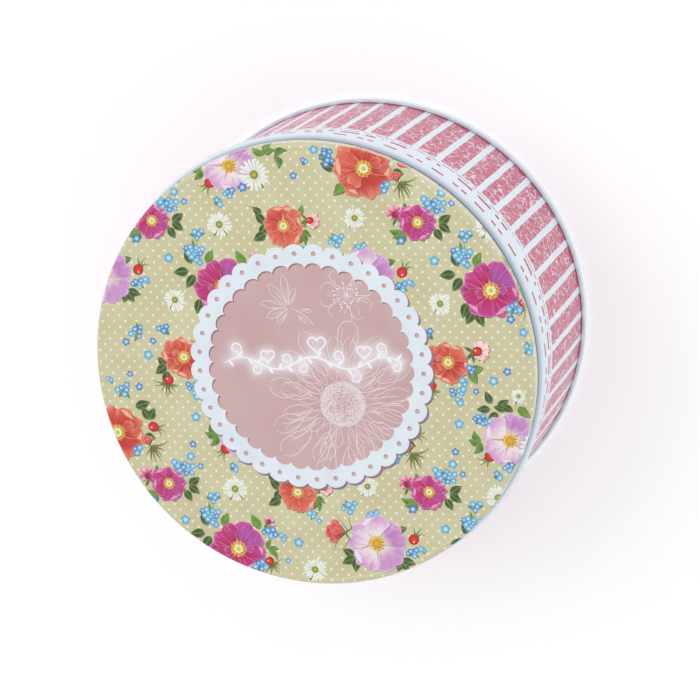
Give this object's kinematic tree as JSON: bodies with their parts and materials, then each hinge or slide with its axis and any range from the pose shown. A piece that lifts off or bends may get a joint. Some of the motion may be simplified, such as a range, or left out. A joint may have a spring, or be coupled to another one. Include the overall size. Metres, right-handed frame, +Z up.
{
  "type": "round printed gift tin",
  "caption": "Round tinplate gift tin with a printed floral lid that slips over the neck, a rounded bead under the lid, a striped printed wall and a seamed base.",
  "frame": {"origin": "centre of the rim the tin stands on, at the underside", "axes": "+Z up along the tin's axis, +Y towards the top of the lid's printed picture, -X is the side with the folded wall seam"},
  "size_m": [0.1796, 0.1796, 0.0986],
  "materials": {
    "printed_body_tinplate": "gloss offset print over white enamel, pink crackle blocks with white stripes",
    "white_enamel_tinplate": "gloss white enamel outside, lacquered bare tinplate inside",
    "printed_lid_tinplate": "gloss offset print, cream ground with white dots and flowers"
  },
  "bodies": {
    "tin": {"body_wall": "printed_body_tinplate", "base": "white_enamel_tinplate"},
    "lid": {"lid": "printed_lid_tinplate"}
  },
  "joints": [
    {"name": "lid_lift", "type": "slide", "parent": "tin", "child": "lid", "axis": [0, 0, 1], "range_m": [0, 0.06]}
  ]
}
